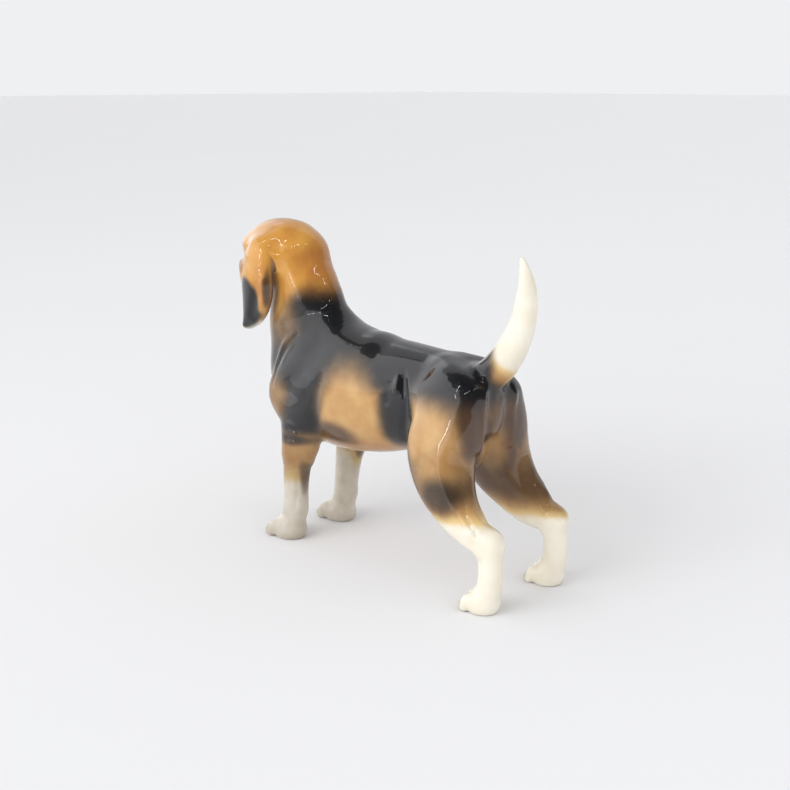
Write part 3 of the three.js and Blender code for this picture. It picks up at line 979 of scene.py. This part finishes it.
def softbox(name, place, width, height, watts):
    """A lamp turned to the dog, which the glaze doesn't show."""
    light = bpy.data.lights.new(name, "AREA")
    light.shape, light.size, light.size_y, light.energy = "RECTANGLE", width, height, watts
    box = bpy.data.objects.new(name, light)
    box.location = place
    box.rotation_euler = (Vector((0, 0, 0.06)) - Vector(place)).to_track_quat("-Z", "Y").to_euler()
    box.visible_glossy = False
    bpy.context.scene.collection.objects.link(box)


class Room(Nodes):
    """The world's brightness, which depends on the direction looked in."""

    def __init__(self, tree):
        super().__init__(tree)
        self.direction = self.add("ShaderNodeTexCoord").outputs["Generated"]
        self.height, self.away, self.left = (self.along(axis) for axis in ((0, 0, 1), AWAY, LEFT))

    def along(self, axis):
        inputs = {0: self.direction, 1: axis}
        return self.add("ShaderNodeVectorMath", inputs, operation="DOT_PRODUCT").outputs["Value"]

    def choose(self, question, no, yes):
        return self.add("ShaderNodeMix", {0: question, 2: no, 3: yes}, data_type="FLOAT").outputs[0]

    def walls(self):
        """The pale walls, low to the camera's left and far behind the dog, with ragged edges."""
        ragged = self.wander(self.noise(2.6, 3, 0.6, self.direction), 0.4)
        top = self.span(self.plus(self.height, ragged), 0.68, 0.72, 1, 0)
        sideways = self.plus(self.math("MULTIPLY_ADD", self.left, 0.8, ragged), self.away)
        low = self.times(self.times(top, self.span(sideways, -0.12, 0.02)), self.span(self.left, 0, 0.35))
        far = self.span(self.plus(self.away, ragged), 0.26, 0.38)
        return self.math("MAXIMUM", low, self.times(far, FAR_WALL_SHARE))

    def tube(self, square_to, start, end):
        """A thin tube of light along a great circle, between two places to the left."""
        left, away, up = square_to
        off = self.math("ABSOLUTE", self.along(LEFT * left + AWAY * away + Vector((0, 0, up))))
        after = self.span(self.left, start, start + 0.02)
        before = self.span(self.left, end, end + 0.02, 1, 0)
        return self.times(self.span(off, 0.004, 0.006, 1, 0), self.times(after, before))

    def tubes(self):
        """Two tubes over the table, with gaps where things hang before them."""
        high, level = self.tube((0.355, 0.753, 0.555), -0.6, 0.4), self.tube((0.53, 0.85, 0), 0.4, 0.9)
        gaps = self.span(self.noise(7, 0, 0.5, self.direction), 0.44, 0.46)
        lit = self.times(self.plus(high, level), gaps)
        return self.times(lit, self.span(self.height, 0.1, 0.12))

    def dome(self):
        """The soft light that falls on the dog, stronger from the left and from low down."""
        leftward = self.span(self.left, -0.8, 0.9, 0.88, 1.28)
        return self.times(leftward, self.span(self.height, 0, 1, 1.36, 0.66))


def studio():
    """A white table and pale walls; the room over and behind the camera is dim, as the glaze shows."""
    softbox("left_softbox", LEFT * 0.75 - AWAY * 0.65 + Vector((0, 0, 0.5)), 0.8, 0.6, SOFTBOX_WATTS)
    world = bpy.data.worlds.new("studio")
    bpy.context.scene.world = world
    world.use_nodes = True
    room = Room(world.node_tree)
    walls = room.math("MULTIPLY_ADD", room.walls(), WALL_LEVEL, ROOM_LEVEL)
    reflected = room.plus(walls, room.times(room.tubes(), TUBE_LEVEL))
    rays = room.add("ShaderNodeLightPath").outputs
    level = room.choose(rays["Is Glossy Ray"], room.dome(), reflected)
    level = room.choose(rays["Is Camera Ray"], level, BACKDROP_LEVEL)
    background = room.add("ShaderNodeBackground", {"Color": (0.975, 0.98, 1, 1), "Strength": level})
    room.finish("ShaderNodeOutputWorld", background)


def photographers_view():
    camera = bpy.data.cameras.new("camera")
    camera.sensor_width, camera.lens = 36.0, CAMERA_LENS
    camera.clip_start = 0.01
    eye = bpy.data.objects.new("camera", camera)
    eye.location = (CAMERA_AT - ORIGIN) * MM
    forward = AWAY * math.cos(CAMERA_PITCH) - Vector((0, 0, math.sin(CAMERA_PITCH)))
    eye.rotation_euler = forward.to_track_quat("-Z", "Y").to_euler()
    bpy.context.scene.collection.objects.link(eye)
    bpy.context.scene.camera = eye


# ---- The whole figurine -----------------------------------------------------------------------
SLOTS = {
    "torso": "saddle_glaze", "head": "tan_glaze", "tail": "cream_glaze", "ear_left": "ear_glaze",
    "ear_right": "ear_glaze", "foreleg_left": "leg_glaze", "foreleg_right": "leg_glaze",
    "hindleg_left": "leg_glaze", "hindleg_right": "leg_glaze",
}


def main():
    glazes = {slot: porcelain(slot) for slot in dict.fromkeys(SLOTS.values())}
    for name, surface in build_skin().items():
        mesh = make_mesh(name + "_glazed", surface, paint_masks(surface.points, name))
        mesh.materials.append(glazes[SLOTS[name]])
        piece = bpy.data.objects.new(name + "_glazed", mesh)
        bpy.context.scene.collection.objects.link(piece)
        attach(piece, "root")
        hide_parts(name)
    plain_floor()
    studio()
    photographers_view()
    bpy.context.scene.view_settings.view_transform = "Standard"


main()
